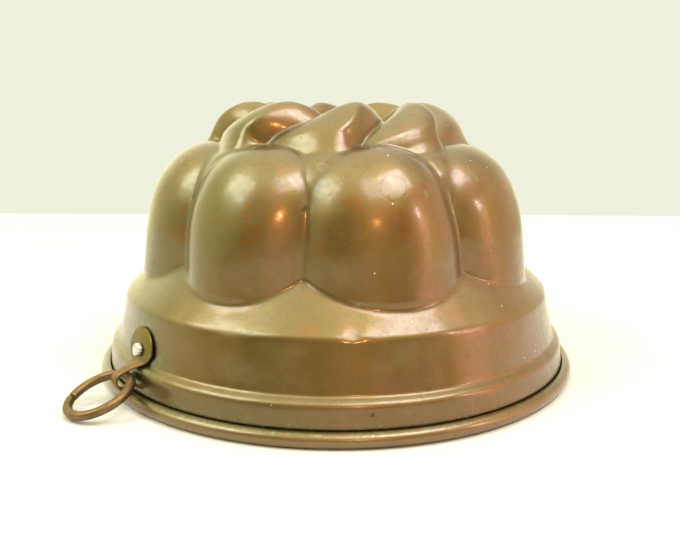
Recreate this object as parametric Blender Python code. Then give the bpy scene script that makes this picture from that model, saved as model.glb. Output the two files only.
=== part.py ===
"""Vintage copper bundt mould: lobed body, wired rim, centre tube and a riveted hanging ring.

The mould stands on its rim with the crown up, axis on +Z, units are metres.
Azimuths are measured from the front (-Y) towards +X.
"""
import math

import bmesh
import bpy
import numpy as np
from mathutils import Vector

MM = 0.001

# body sheet
COLUMNS = 64                # strips round the mould, a multiple of both 8 lobes and 4 quadrants
LOBES = 8
PITCH = 360.0 / LOBES
SHEET = 0.75                # copper thickness, mm
LOBE_AZ = 16.2              # azimuth of one lobe's crest
GROOVE_AZ = LOBE_AZ - PITCH / 2
GAP = 0.3                   # clearance between pieces that touch

# lower body profile, outer face: radius, height (mm)
SHOULDER = (88.3, 33.6)
STEP_TOP = (92.0, 15.1)
STEP_LOW = (94.9, 13.7)
BAND_LOW = (96.15, 5.7)
SEAM_BEND = (95.85, 4.7)
EDGE_ROUND = 1.3            # length taken off each side of a rounded edge
EDGE_PULL = 0.4             # share of the sharp corner in a rounded edge's middle point

# rim bead, rolled round a wire
BEAD_R = 2.68
BEAD_ARC = 30.0             # degrees per facet, one flat on the table and one upright at the widest
BEAD_CORNER = BEAD_R / math.cos(math.radians(BEAD_ARC / 2))
BEAD_X = 100.0 - BEAD_R
BEAD_Z = BEAD_R
CURL_START = 162.0          # where the skirt runs into the bead
CURL_FACETS = 9             # even facets of the curl
CURL_END = 464.0            # the sheet's free edge, nearly back at the skirt
WIRE_R = 1.5

# upper body: rays fan out from a focus ring inside the wall
FOCUS = (30.0, 55.0)
LOBE_C = 48.7               # radius of the lobes' own centre lines
LOBE_SIDE = 33.0            # tangential half width of a lobe
LOBE_FOOT_Z = 43.0
LOBE_TOP_Z = 93.3           # top of the lobes' domes
JUST_UNDER_TOP = 0.9999     # share of a lobe's height where its section is still open
LOBE_REACH = 32.8           # radial half width at the foot
REACH_CURVE = (2.2, 0.417)  # powers that round the dome off, in its radial section
SIDE_CURVE = (3.6, 0.455)   # and across it
REACH_SAG = 0.2             # slight inward lean of the lobe's front
SLOPE_FOOT = (72.0, 49.0)   # where the shoulder slope meets the grooves
SLOPE_FAN = 25.0            # the slope lies below this fan angle
BLEND_GROOVE = 1.4          # softness of the pressed inside corners, mm
BLEND_CREASE = 0.8
RAY_END = 80.0              # longer than any ray
HALVINGS = 36               # steps of the search along a ray

# crown: crest line of a twisted strand, radius and height (mm)
CREST = ((68.0, 73.0), (67.6, 76.5), (65.8, 81.0), (63.2, 85.0), (59.6, 88.6), (56.2, 91.0), (53.8, 94.0),
         (52.0, 97.5), (50.2, 101.0), (47.3, 104.2), (43.3, 106.9), (38.5, 108.6), (34.0, 109.0),
         (29.6, 107.8), (25.8, 105.0), (22.7, 101.6), (20.3, 97.8), (18.6, 94.0))
STRAND_PEAK = 1.8           # how pointed a strand's section is
TURN_FAN = (50.0, 58.0, 64.0, 68.0, 72.0, 76.0, 80.0, 84.0, 88.0, 92.0, 96.0, 103.0, 107.0)
VALLEY_TURN = (0.0, -3.0, -6.0, -4.0, -0.5, 4.0, 9.0, 14.0, 19.5, 26.0, 32.0, 44.0, 48.0)
CREST_TURN = (4.0, 7.0, 7.5, 10.2, 12.8, 14.4, 15.8, 17.8, 21.0, 26.0, 32.0, 44.0, 48.0)
DEPTH_FAN = (15.0, 50.0, 62.0, 72.0, 84.0, 95.0, 103.0, 107.0)
DEPTH_MM = (14.0, 11.0, 8.6, 7.4, 7.6, 6.5, 3.0, 0.5)

# front strands pressed in a little: depth (mm), reach either side, height and width on the fan (degrees)
PRESSED = (1.3, 75.0, 72.0, 13.0)
# grooves that stray from even spacing: azimuth, shift at the foot and under the crown (degrees)
STRAYED = ((-6.3, -2.6, -1.9), (38.7, 0.0, -2.8))
STRAY_REACH = 30.0
STRAY_RISE = (-10.0, 25.0)              # fan angles of the foot and of the top of a groove
STRAY_KEEP = (-18.0, -13.0, 48.0, 75.0)  # the shift fades in above the shoulder and out on the crown

# fan angles of the body's rows
FAN_ROWS = (-16.5, -13.0, -9.5, -6.0, 1.0, 9.0, 17.0, 25.0, 32.0, 39.0, 45.5, 51.5,
            57.0, 61.5, 65.5, 69.5, 74.0, 79.5, 85.8, 91.5, 98.0, 107.0)
COLLAR_R = 18.6             # neck that the tube's top end is soldered into
COLLAR_Z = 90.5
COLLAR_EDGE = 2.0

# centre tube
TUBE_SIDES = 32
TUBE_PLAY = 0.2             # the neck's flats lie a little inside its circle
TUBE_TOP_R = COLLAR_R - GAP - TUBE_PLAY
TUBE_TOP_Z = 94.0
TUBE_FOOT_R = 13.0
TUBE_FOOT_Z = 4.0
TUBE_WALL = 0.7
TUBE_THROAT_Z = COLLAR_Z + 3.0  # straight above this, tapered below

# hanger
HANGER_AZ = -51.2
RIVET_Z = 19.5
RIVET_HEAD_R = 2.7
RIVET_HEAD_H = 1.8
RIVET_HEAD_SIDE = 0.7       # share of the head's height that is upright
RIVET_HEAD_FACE = 0.78      # flattened face against the head's radius
RIVET_SHANK_R = 1.5
RIVET_TAIL_R = 2.5
RIVET_TAIL_H = 0.9
RIVET_TAIL_SIDE = 0.5
RIVET_TAIL_FACE = 0.7
TAB_R = 8.6
TAB_SHEET = 0.9
TONGUE_HALF = 2.1
EYE_C = (99.3, 9.7)
EYE_R = 3.4
EYE_FROM, EYE_TO = 75.0, -140.0
# strap between the tab and the eye: radius, height, half width
STRAP_BEND = ((92.6, 16.5, 6.4), (93.4, 15.55, 5.0), (95.0, 14.75, 3.4), (97.2, 14.0, 2.45))
TAB_ANGLES = (84.0, 70.0, 54.0, 38.0, 20.0, 0.0)
TAB_WAIST = (-1.6, 7.8)     # height below the rivet and half width where the tab narrows
EYE_STEPS = 10
HOLE_REACH = 4.0            # half length of the rivet hole's cutter
HOLE_SIDES = 12
RIVET_SIDES = 14
WIRE_SIDES = 8

# ring
RING_AXIS = (97.5, 10.7)    # radius, height of the wire inside the eye
RING_R = 11.75
RING_WIRE = 1.7
RING_TILT = 21.5            # below the horizontal, leaning on the table
RING_CUT = -52.0            # where the ends of the wire meet, degrees from the outer end
RING_CUT_GAP = 3.0
RING_STEPS = 40
RING_SIDES = 10


def fold(angle, centre):
    """Angle to the nearest repeat of centre, within half a pitch either way."""
    return (np.asarray(angle) - centre + PITCH / 2) % PITCH - PITCH / 2


def smooth_max(a, b, width):
    h = np.clip(0.5 + 0.5 * (a - b) / width, 0.0, 1.0)
    return b * (1 - h) + a * h + width * h * (1 - h)


def lobe_outside(radius, z, off):
    """Above 1 outside the lobe whose crest is off degrees away."""
    a = np.radians(off)
    x = radius * np.cos(a) - LOBE_C
    y = radius * np.sin(a)
    u = np.clip((z - LOBE_FOOT_Z) / (LOBE_TOP_Z - LOBE_FOOT_Z), 0.0, JUST_UNDER_TOP)
    reach = LOBE_REACH * ((1 - u ** REACH_CURVE[0]) ** REACH_CURVE[1] - REACH_SAG * u * (1 - u) ** 2)
    side = LOBE_SIDE * (1 - u ** SIDE_CURVE[0]) ** SIDE_CURVE[1]
    return np.where(z < LOBE_TOP_Z, np.hypot(x / reach, y / side), 2.0)


def lobe_ray(off, fan):
    """Distance along a fan ray to the surface of the lobe off degrees away."""
    c, s = np.cos(np.radians(fan)), np.sin(np.radians(fan))
    near = np.zeros(np.broadcast(off, fan).shape)
    far = near + RAY_END
    inside = lobe_outside(FOCUS[0] + near * c, FOCUS[1] + near * s, off) < 1.0
    for _ in range(HALVINGS):
        mid = (near + far) / 2
        out = lobe_outside(FOCUS[0] + mid * c, FOCUS[1] + mid * s, off) >= 1.0
        far = np.where(out, mid, far)
        near = np.where(out, near, mid)
    return np.where(inside, near, 0.0)


def slope_ray(fan):
    """Distance along a fan ray to the shoulder slope."""
    dx, dz = SLOPE_FOOT[0] - SHOULDER[0], SLOPE_FOOT[1] - SHOULDER[1]
    nx, nz = dz / math.hypot(dx, dz), -dx / math.hypot(dx, dz)
    c, s = np.cos(np.radians(fan)), np.sin(np.radians(fan))
    gap = nx * (SHOULDER[0] - FOCUS[0]) + nz * (SHOULDER[1] - FOCUS[1])
    t = gap / np.maximum(nx * c + nz * s, 1e-6)
    return np.where(np.asarray(fan) < SLOPE_FAN, t, 0.0)


CREST_FAN = [math.degrees(math.atan2(z - FOCUS[1], r - FOCUS[0])) for r, z in CREST]
CREST_DIST = [math.hypot(z - FOCUS[1], r - FOCUS[0]) for r, z in CREST]


def crown_ray(az, fan):
    """Distance along a fan ray to the twisted strands, steeper on their leading side."""
    crest = np.interp(fan, CREST_FAN, CREST_DIST, left=0.0)
    valley = np.interp(fan, TURN_FAN, VALLEY_TURN)
    lean = np.interp(fan, TURN_FAN, CREST_TURN) - valley
    ahead = fold(az, GROOVE_AZ + valley) - lean
    behind = np.maximum(-ahead, 0.0) / (PITCH / 2 + lean)
    across = np.maximum(behind, np.maximum(ahead, 0.0) / (PITCH / 2 - lean))
    sag = (np.hypot(1.0, STRAND_PEAK * across) - 1) / (math.hypot(1.0, STRAND_PEAK) - 1)
    deep, reach, middle, width = PRESSED
    front = np.clip(1 - (((az + 180) % 360 - 180) / reach) ** 2, 0, None) ** 2
    press = deep * front * np.clip(1 - ((fan - middle) / width) ** 2, 0, None) ** 2
    return crest - press - np.interp(fan, DEPTH_FAN, DEPTH_MM) * sag


def wall_ray(az, fan):
    """Distance along a fan ray to the outer face of the upper body."""
    az, fan = np.broadcast_arrays(np.asarray(az, float), np.asarray(fan, float))
    off = fold(az, LOBE_AZ)
    lobes = smooth_max(lobe_ray(off, fan), lobe_ray(np.abs(off) - PITCH, fan), BLEND_GROOVE)
    wall = smooth_max(lobes, slope_ray(fan), BLEND_GROOVE)
    return smooth_max(wall, crown_ray(az, fan), BLEND_CREASE)


def drift(az, fan):
    """Degrees by which the hand-chased grooves stray at an azimuth, none on the crown."""
    rise = np.interp(fan, STRAY_RISE, (0.0, 1.0))
    keep = np.interp(fan, STRAY_KEEP, (0.0, 1.0, 1.0, 0.0))
    total = np.zeros(np.shape(az))
    for place, foot, top in STRAYED:
        off = (az - place + 180.0) % 360.0 - 180.0
        near = np.cos(np.clip(off / STRAY_REACH, -1, 1) * math.pi / 2) ** 2
        total += near * (foot + (top - foot) * rise) * keep
    return total


def at(az, radius, z):
    """Point in metres."""
    a = np.radians(az)
    return np.stack(np.broadcast_arrays(radius * np.sin(a), -radius * np.cos(a), z), -1) * MM


def rounded(before, corner, after):
    """Three points that round a corner off."""
    b, c, a = (np.array(p, float) for p in (before, corner, after))
    u, v = (b - c) / np.linalg.norm(b - c), (a - c) / np.linalg.norm(a - c)
    start, end = c + u * EDGE_ROUND, c + v * EDGE_ROUND
    return [tuple(start), tuple(c * EDGE_PULL + (start + end) * (1 - EDGE_PULL) / 2), tuple(end)]


def lower_profile():
    """Outer face from the shoulder down to the bend above the bead."""
    return [*rounded(SLOPE_FOOT, SHOULDER, STEP_TOP), STEP_TOP,
            *rounded(STEP_TOP, STEP_LOW, BAND_LOW), BAND_LOW, SEAM_BEND]


def offset(line, amount):
    """Profile moved sideways towards the inside by amount."""
    pts = np.array(line, float)
    d = np.gradient(pts, axis=0)
    d /= np.linalg.norm(d, axis=1)[:, None]
    return [tuple(p) for p in pts + np.stack([d[:, 1], -d[:, 0]], 1) * amount]


def curl(radius):
    """Arc of the bead from the skirt under the wire to the free edge."""
    first = 180.0 + BEAD_ARC / 2
    angles = [CURL_START] + [first + BEAD_ARC * i for i in range(CURL_FACETS)] + [CURL_END]
    return [(BEAD_X + radius * math.cos(math.radians(a)), BEAD_Z + radius * math.sin(math.radians(a)))
            for a in angles]


def body_faces():
    """Outer and inner face of the sheet as two grids of points, rows by columns."""
    az = GROOVE_AZ + np.arange(COLUMNS) * (360.0 / COLUMNS)
    turn = VALLEY_TURN[-1]
    rows = [at(az + turn, COLLAR_R, COLLAR_Z), at(az + turn, COLLAR_R, COLLAR_Z + COLLAR_EDGE)]
    for fan in reversed(FAN_ROWS):
        a = az + np.interp(fan, TURN_FAN, VALLEY_TURN)
        t = wall_ray(a, fan)
        a = a + drift(a, fan)
        c, s = math.cos(math.radians(fan)), math.sin(math.radians(fan))
        rows.append(at(a, FOCUS[0] + t * c, FOCUS[1] + t * s))
    outer = np.array(rows)
    down = np.gradient(outer, axis=0)
    along = np.roll(outer, -1, 1) - np.roll(outer, 1, 1)
    normal = np.cross(along, down)
    normal /= np.linalg.norm(normal, axis=2)[..., None]
    inner = outer + normal * SHEET * MM
    low = lower_profile()
    low_in = offset(low, SHEET)
    outer = list(outer) + [at(az, r, z) for r, z in low + curl(BEAD_CORNER - SHEET)]
    inner = list(inner) + [at(az, r, z) for r, z in low_in + curl(BEAD_CORNER)]
    return outer, inner


def make_material(name, colour, rough, metal=1.0):
    mat = bpy.data.materials.new(name)
    mat.use_nodes = True
    shader = mat.node_tree.nodes["Principled BSDF"]
    shader.inputs["Base Color"].default_value = (*colour, 1.0)
    shader.inputs["Roughness"].default_value = rough
    shader.inputs["Metallic"].default_value = metal
    return mat


def add_node(name, verts, faces, mat, origin=(0.0, 0.0, 0.0), smooth=True):
    """One named object, its vertices kept in place round the origin given."""
    mesh = bpy.data.meshes.new(name)
    shift = Vector(origin)
    mesh.from_pydata([tuple(Vector([float(c) for c in v]) - shift) for v in verts], [], faces)
    bm = bmesh.new()
    bm.from_mesh(mesh)
    bmesh.ops.recalc_face_normals(bm, faces=bm.faces)
    bm.to_mesh(mesh)
    bm.free()
    for poly in mesh.polygons:
        poly.use_smooth = smooth
    mesh.materials.append(mat)
    obj = bpy.data.objects.new(name, mesh)
    obj.location = shift
    bpy.context.scene.collection.objects.link(obj)
    return obj


def ring_faces(rows, columns, close_rows=True):
    """Quads of a grid closed round its columns, and round its rows when asked."""
    out = []
    for i in range(rows if close_rows else rows - 1):
        k = (i + 1) % rows
        for j in range(columns):
            m = (j + 1) % columns
            out.append((i * columns + j, i * columns + m, k * columns + m, k * columns + j))
    return out


def sweep(sections):
    """Closed solid through a list of sections with equal point counts, ends capped."""
    count = len(sections[0])
    verts = [p for s in sections for p in s]
    faces = ring_faces(len(sections), count, close_rows=False)
    faces.append(tuple(range(count)))
    faces.append(tuple((len(sections) - 1) * count + i for i in reversed(range(count))))
    return verts, faces


def cut(target, tool):
    """Take the tool away from the target."""
    mod = target.modifiers.new("hole", "BOOLEAN")
    mod.operation = "DIFFERENCE"
    mod.solver = "EXACT"
    mod.object = tool
    tool.hide_render = True
    tool.display_type = "WIRE"
    bpy.context.view_layer.update()
    done = bpy.data.meshes.new_from_object(target.evaluated_get(bpy.context.evaluated_depsgraph_get()))
    target.modifiers.remove(mod)
    target.data = done
    bpy.data.objects.remove(tool)


# hanger frame: out from the skirt, up along it, and sideways round it
SKIRT = np.array(SHOULDER) - np.array(STEP_TOP)
UP = SKIRT / np.linalg.norm(SKIRT)
OUT = np.array([UP[1], -UP[0]])
SKIRT_R = STEP_TOP[0] + (RIVET_Z - STEP_TOP[1]) * SKIRT[0] / SKIRT[1]


def hanger_point(radius, z, side):
    """Point in the hanger's upright plane, moved sideways along the tangent."""
    a = math.radians(HANGER_AZ)
    return ((radius * math.sin(a) + side * math.cos(a)) * MM,
            (-radius * math.cos(a) + side * math.sin(a)) * MM, z * MM)


def on_skirt(out, up):
    """Radius and height of a point out from and up along the skirt, from the rivet."""
    p = np.array([SKIRT_R, RIVET_Z]) + OUT * out + UP * up
    return float(p[0]), float(p[1])


def turned(profile, sides):
    """Solid turned about the rivet's axis from (out, radius) pairs."""
    sections = []
    for out, radius in profile:
        ring = []
        for i in range(sides):
            a = 2 * math.pi * i / sides
            r, z = on_skirt(out, radius * math.sin(a))
            ring.append(hanger_point(r, z, radius * math.cos(a)))
        sections.append(ring)
    return sweep(sections)


def rivet_bore():
    """Cutter for the hole the rivet's shank passes through."""
    radius = RIVET_SHANK_R + GAP
    return turned([(-HOLE_REACH, radius), (HOLE_REACH, radius)], HOLE_SIDES)


def build_body(mat):
    outer, inner = body_faces()
    rows = outer + inner[::-1]
    verts = [p for row in rows for p in row]
    body = add_node("mould_body", verts, ring_faces(len(rows), COLUMNS), mat)
    cut(body, add_node("skirt_hole", *rivet_bore(), mat))
    return body


def build_wire(mat):
    rows = []
    az = GROOVE_AZ + np.arange(COLUMNS) * (360.0 / COLUMNS)
    for i in range(WIRE_SIDES):
        a = 2 * math.pi * (i + 0.5) / WIRE_SIDES
        rows.append(at(az, BEAD_X + WIRE_R * math.cos(a), BEAD_Z + WIRE_R * math.sin(a)))
    add_node("rim_wire", [p for r in rows for p in r], ring_faces(WIRE_SIDES, COLUMNS), mat)


def build_tube(mat):
    az = np.arange(TUBE_SIDES) * (360.0 / TUBE_SIDES)
    outer = [(TUBE_TOP_R, TUBE_TOP_Z), (TUBE_TOP_R, TUBE_THROAT_Z), (TUBE_FOOT_R, TUBE_FOOT_Z)]
    inner = [(r - TUBE_WALL, z) for r, z in reversed(outer)]
    rows = [at(az, r, z) for r, z in outer + inner]
    add_node("centre_tube", [p for r in rows for p in r], ring_faces(len(rows), TUBE_SIDES), mat)


def strap_line():
    """Middle of the strap from the top of the tab to the end of the eye, with half widths."""
    lift = GAP + TAB_SHEET / 2
    stations = []
    for a in TAB_ANGLES:
        up = TAB_R * math.sin(math.radians(a))
        stations.append((on_skirt(lift, up), TAB_R * math.cos(math.radians(a))))
    stations.append((on_skirt(lift, TAB_WAIST[0]), TAB_WAIST[1]))
    stations += [((radius, z), half) for radius, z, half in STRAP_BEND]
    for i in range(EYE_STEPS + 1):
        a = math.radians(EYE_FROM + (EYE_TO - EYE_FROM) * i / EYE_STEPS)
        stations.append(((EYE_C[0] + EYE_R * math.cos(a), EYE_C[1] + EYE_R * math.sin(a)), TONGUE_HALF))
    return stations


def build_strap(mat):
    stations = strap_line()
    line = np.array([p for p, _ in stations])
    d = np.gradient(line, axis=0)
    d /= np.linalg.norm(d, axis=1)[:, None]
    side = np.stack([d[:, 1], -d[:, 0]], 1) * TAB_SHEET / 2
    sections = []
    for i, (_, half) in enumerate(stations):
        a, b = line[i] + side[i], line[i] - side[i]
        sections.append([hanger_point(*a, -half), hanger_point(*a, half),
                         hanger_point(*b, half), hanger_point(*b, -half)])
    verts, faces = sweep(sections)
    strap = add_node("hanger_strap", verts, faces, mat, smooth=False)
    cut(strap, add_node("strap_hole", *rivet_bore(), mat))


def build_rivet(mat):
    seat = GAP + TAB_SHEET + GAP
    back = -SHEET - GAP
    profile = [(back - RIVET_TAIL_H, RIVET_TAIL_R * RIVET_TAIL_FACE),
               (back - RIVET_TAIL_H * RIVET_TAIL_SIDE, RIVET_TAIL_R), (back, RIVET_TAIL_R),
               (back, RIVET_SHANK_R), (seat, RIVET_SHANK_R), (seat, RIVET_HEAD_R),
               (seat + RIVET_HEAD_H * RIVET_HEAD_SIDE, RIVET_HEAD_R),
               (seat + RIVET_HEAD_H, RIVET_HEAD_R * RIVET_HEAD_FACE)]
    verts, faces = turned(profile, RIVET_SIDES)
    add_node("hanger_rivet", verts, faces, mat)


def build_ring(mat):
    tilt = math.radians(RING_TILT)
    out = np.array([math.cos(tilt), -math.sin(tilt)])
    centre = np.array(RING_AXIS) + out * RING_R
    lift = np.array([math.sin(tilt), math.cos(tilt)])
    sections = []
    for i in range(RING_STEPS + 1):
        a = RING_CUT + RING_CUT_GAP + (360.0 - 2 * RING_CUT_GAP) * i / RING_STEPS
        a = math.radians(a)
        ring = []
        for j in range(RING_SIDES):
            b = 2 * math.pi * j / RING_SIDES
            r = RING_R + RING_WIRE * math.cos(b)
            p = centre + out * r * math.cos(a) + lift * RING_WIRE * math.sin(b)
            ring.append(hanger_point(p[0], p[1], r * math.sin(a)))
        sections.append(ring)
    verts, faces = sweep(sections)
    add_node("hanging_ring", verts, faces, mat, origin=hanger_point(*RING_AXIS, 0.0))


for old in list(bpy.data.objects):
    bpy.data.objects.remove(old)

build_body(make_material("copper_body", (0.36, 0.17, 0.08), 0.35))
build_wire(make_material("rim_steel", (0.45, 0.44, 0.42), 0.45))
build_tube(make_material("tinned_tube", (0.62, 0.61, 0.58), 0.35))
build_strap(make_material("copper_strap", (0.38, 0.2, 0.1), 0.4))
build_rivet(make_material("rivet_tin", (0.7, 0.7, 0.68), 0.3))
build_ring(make_material("ring_copper", (0.3, 0.19, 0.1), 0.4))
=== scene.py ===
"""Looks of the vintage copper bundt mould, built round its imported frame.

Azimuths are measured from the front (-Y) towards +X, sizes are millimetres unless a name says otherwise.
"""
import math
import random

import bmesh
import bpy
import numpy as np
from mathutils import Matrix, Vector


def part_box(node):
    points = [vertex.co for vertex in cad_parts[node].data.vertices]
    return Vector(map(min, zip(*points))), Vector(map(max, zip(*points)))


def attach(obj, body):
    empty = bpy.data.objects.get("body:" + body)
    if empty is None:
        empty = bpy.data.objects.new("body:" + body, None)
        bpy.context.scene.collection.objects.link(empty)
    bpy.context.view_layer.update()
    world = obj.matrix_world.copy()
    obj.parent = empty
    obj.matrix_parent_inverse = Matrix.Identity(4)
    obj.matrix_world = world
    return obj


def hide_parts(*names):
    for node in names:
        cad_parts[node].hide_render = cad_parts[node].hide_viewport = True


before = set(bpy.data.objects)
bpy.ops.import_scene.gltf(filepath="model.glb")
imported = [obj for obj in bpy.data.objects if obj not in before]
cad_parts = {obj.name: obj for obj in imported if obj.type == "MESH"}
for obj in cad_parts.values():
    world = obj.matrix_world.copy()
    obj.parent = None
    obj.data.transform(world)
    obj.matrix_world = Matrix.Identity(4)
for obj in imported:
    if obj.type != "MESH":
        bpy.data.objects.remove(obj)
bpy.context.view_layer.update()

MM = 0.001
_, BODY_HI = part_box("mould_body")
RIM_R = round(BODY_HI.x / MM, 1)          # outer radius of the rim bead
CROWN_TOP = round(BODY_HI.z / MM, 1)      # height of the crown's crests

# grids of the body sheet
COLUMNS = 384               # round the outer face and the bead
COLUMNS_IN = COLUMNS // 2   # round the inside
LOBES = 8
PITCH = 360.0 / LOBES
SHEET = 0.75
LOBE_AZ = 16.2
GROOVE_AZ = LOBE_AZ - PITCH / 2
GAP = 0.3

# lower body profile, outer face: radius, height
SHOULDER = (88.3, 33.6)
STEP_TOP = (92.0, 15.1)
STEP_LOW = (94.9, 13.7)
BAND_LOW = (96.15, 5.7)
SEAM_BEND = (95.85, 4.7)
SHOULDER_ROUND = 1.6        # length taken off each side of a rounded edge
HOLLOW_ROUND = 1.0
STEP_ROUND = 1.5
BAND_ROUND = 0.5

# rim bead, rolled round its wire
BEAD_R = 2.66
BEAD_X = RIM_R - 0.02 - BEAD_R
BEAD_Z = BEAD_R + 0.02
CURL_START = 162.0
CURL_FOOT = 205.0           # where the bead turns into the inside of the skirt
CURL_END = 470.0
WIRE_R = 1.5
WIRE_COLUMNS, WIRE_SIDES = 192, 20

# upper body: rays fan out from a focus ring inside the wall
FOCUS = (30.0, 55.0)
LOBE_C = 48.7
LOBE_SIDE = 33.0
LOBE_FOOT_Z = 43.0
LOBE_TOP_Z = 93.3
JUST_UNDER_TOP = 0.9999     # share of a lobe's height where its section is still open
LOBE_REACH = 32.8
REACH_CURVE = (2.2, 0.417)  # powers that round the dome off, in its radial section
SIDE_CURVE = (3.6, 0.455)   # and across it
REACH_SAG = 0.2             # slight inward lean of the lobe's front
SLOPE_FOOT = (72.0, 49.0)   # where the shoulder slope meets the grooves
SLOPE_FAN = 25.0            # the slope lies below this fan angle
RAY_END = 80.0              # longer than any ray
HALVINGS = 36               # steps of the search along a ray
BLEND_GROOVE = 1.4
BLEND_CREASE = 0.8
CREASE_REACH = 1.1          # how far the dirt and painted shade spread from an inside corner, mm
SEAM_DIRT_AND_SHADE = 0.4             # the same above the bead
CREASE_TURN = 2.2           # the same between two strands, degrees
CREASE_FADE = (80.0, 100.0)  # fan angles where the dirt and painted shade between strands thin out
CREST = ((68.0, 73.0), (67.6, 76.5), (65.8, 81.0), (63.2, 85.0), (59.6, 88.6), (56.2, 91.0), (53.8, 94.0),
         (52.0, 97.5), (50.2, 101.0), (47.3, 104.2), (43.3, 106.9), (38.5, 108.6), (34.0, CROWN_TOP),
         (29.6, 107.8), (25.8, 105.0), (22.7, 101.6), (20.3, 97.8), (18.6, 94.0))
STRAND_PEAK = 1.8
TURN_FAN = (50.0, 58.0, 64.0, 68.0, 72.0, 76.0, 80.0, 84.0, 88.0, 92.0, 96.0, 103.0, 107.0)
VALLEY_TURN = (0.0, -3.0, -6.0, -4.0, -0.5, 4.0, 9.0, 14.0, 19.5, 26.0, 32.0, 44.0, 48.0)
CREST_TURN = (4.0, 7.0, 7.5, 10.2, 12.8, 14.4, 15.8, 17.8, 21.0, 26.0, 32.0, 44.0, 48.0)
DEPTH_FAN = (15.0, 50.0, 62.0, 72.0, 84.0, 95.0, 103.0, 107.0)
DEPTH_MM = (14.0, 11.0, 8.6, 7.4, 7.6, 6.5, 3.0, 0.5)
# front strands pressed in a little: depth (mm), reach either side, height and width on the fan (degrees)
PRESSED = (1.3, 75.0, 72.0, 13.0)
# grooves that stray from even spacing: azimuth, shift at the foot and under the crown (degrees)
STRAYED = ((-6.3, -2.6, -1.9), (38.7, 0.0, -2.8))
STRAY_REACH = 30.0
STRAY_RISE = (-10.0, 25.0)  # fan angles of the foot and of the top of a groove
STRAY_KEEP = (-18.0, -13.0, 48.0, 75.0)     # the shift fades in above the shoulder and out on the crown
COLLAR_R = 18.6             # neck that the tube's top end is soldered into
COLLAR_Z = 90.5
COLLAR_RISE = (0.0, 1.2, 2.2)   # heights of the neck's rows
# dirt and painted shade on the neck's rows
COLLAR_DIRT_AND_SHADE = 0.6

# rows of the upper body: fan angles of its ends and of the bend between wall and dome
FAN_FOOT, FAN_BEND, FAN_TOP = -18.6, 28.0, 107.0
FAN_FINE = (24, 20, 124)    # rows of the slope, the wall and the dome, outside
FAN_COARSE = (12, 8, 50)    # and inside

# centre tube
TUBE_SIDES = 128
TUBE_PLAY = 0.2
TUBE_TOP_R = COLLAR_R - GAP - TUBE_PLAY
TUBE_TOP_Z = 94.0
TUBE_THROAT_Z = COLLAR_Z + 3.0              # straight above this, tapered below
TUBE_FOOT_R = 13.0
TUBE_FOOT_Z = 4.0
TUBE_WALL = 0.7

# hanger
HANGER_AZ = -51.2
RIVET_Z = 19.5
RIVET_HEAD_R = 2.7
RIVET_HEAD_H = 1.8
RIVET_SHANK_R = 1.5
RIVET_TAIL_R = 2.5
RIVET_TAIL_H = 0.9
RIVET_SIDES = 40
TAB_R = 8.6
TAB_SHEET = 0.9
TONGUE_HALF = 2.1
EYE_C = (99.3, 9.7)
EYE_R = 3.4
EYE_FROM, EYE_TO = 75.0, -140.0
EYE_STEPS = 10
TAB_ANGLES = (89, 84, 78, 71, 64, 56, 48, 40, 32, 24, 16, 8, 0)
TAB_WAIST = ((-0.9, 8.3), (-1.8, 7.7))      # height below the rivet and half width where the tab narrows
# strap between the tab and the eye: radius, height, half width
STRAP_BEND = ((92.6, 16.5, 6.4), (93.4, 15.55, 5.0), (95.0, 14.75, 3.4), (97.2, 14.0, 2.45))
STRAP_EDGE = 0.24           # rounding of the strap's edges

# ring
RING_AXIS = (97.5, 10.7)
RING_R = 11.75
RING_WIRE = 1.7
RING_TILT = 21.5
RING_CUT = -52.0
RING_CUT_GAP = 2.6
RING_STEPS, RING_SIDES = 150, 24
RING_EDGE = 0.22            # bevel of the wire's cut ends
RING_OFFSET = 0.18          # how far the two ends stand out of line


# ---------------------------------------------------------------- body surface

def fold(angle, centre):
    """Angle to the nearest repeat of centre, within half a pitch either way."""
    return (np.asarray(angle) - centre + PITCH / 2) % PITCH - PITCH / 2


def smooth_max(a, b, width):
    h = np.clip(0.5 + 0.5 * (a - b) / width, 0.0, 1.0)
    return b * (1 - h) + a * h + width * h * (1 - h)


def lobe_outside(radius, z, off):
    """Above 1 outside the lobe whose crest is off degrees away."""
    a = np.radians(off)
    x = radius * np.cos(a) - LOBE_C
    y = radius * np.sin(a)
    u = np.clip((z - LOBE_FOOT_Z) / (LOBE_TOP_Z - LOBE_FOOT_Z), 0.0, JUST_UNDER_TOP)
    reach = LOBE_REACH * ((1 - u ** REACH_CURVE[0]) ** REACH_CURVE[1] - REACH_SAG * u * (1 - u) ** 2)
    side = LOBE_SIDE * (1 - u ** SIDE_CURVE[0]) ** SIDE_CURVE[1]
    return np.where(z < LOBE_TOP_Z, np.hypot(x / reach, y / side), 2.0)


def lobe_ray(off, fan):
    """Distance along a fan ray to the surface of the lobe off degrees away."""
    c, s = np.cos(np.radians(fan)), np.sin(np.radians(fan))
    near = np.zeros(np.broadcast(off, fan).shape)
    far = near + RAY_END
    inside = lobe_outside(FOCUS[0] + near * c, FOCUS[1] + near * s, off) < 1.0
    for _ in range(HALVINGS):
        mid = (near + far) / 2
        out = lobe_outside(FOCUS[0] + mid * c, FOCUS[1] + mid * s, off) >= 1.0
        far = np.where(out, mid, far)
        near = np.where(out, near, mid)
    return np.where(inside, near, 0.0)


def slope_ray(fan):
    """Distance along a fan ray to the shoulder slope."""
    dx, dz = SLOPE_FOOT[0] - SHOULDER[0], SLOPE_FOOT[1] - SHOULDER[1]
    nx, nz = dz / math.hypot(dx, dz), -dx / math.hypot(dx, dz)
    c, s = np.cos(np.radians(fan)), np.sin(np.radians(fan))
    gap = nx * (SHOULDER[0] - FOCUS[0]) + nz * (SHOULDER[1] - FOCUS[1])
    t = gap / np.maximum(nx * c + nz * s, 1e-6)
    return np.where(np.asarray(fan) < SLOPE_FAN, t, 0.0)


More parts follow.
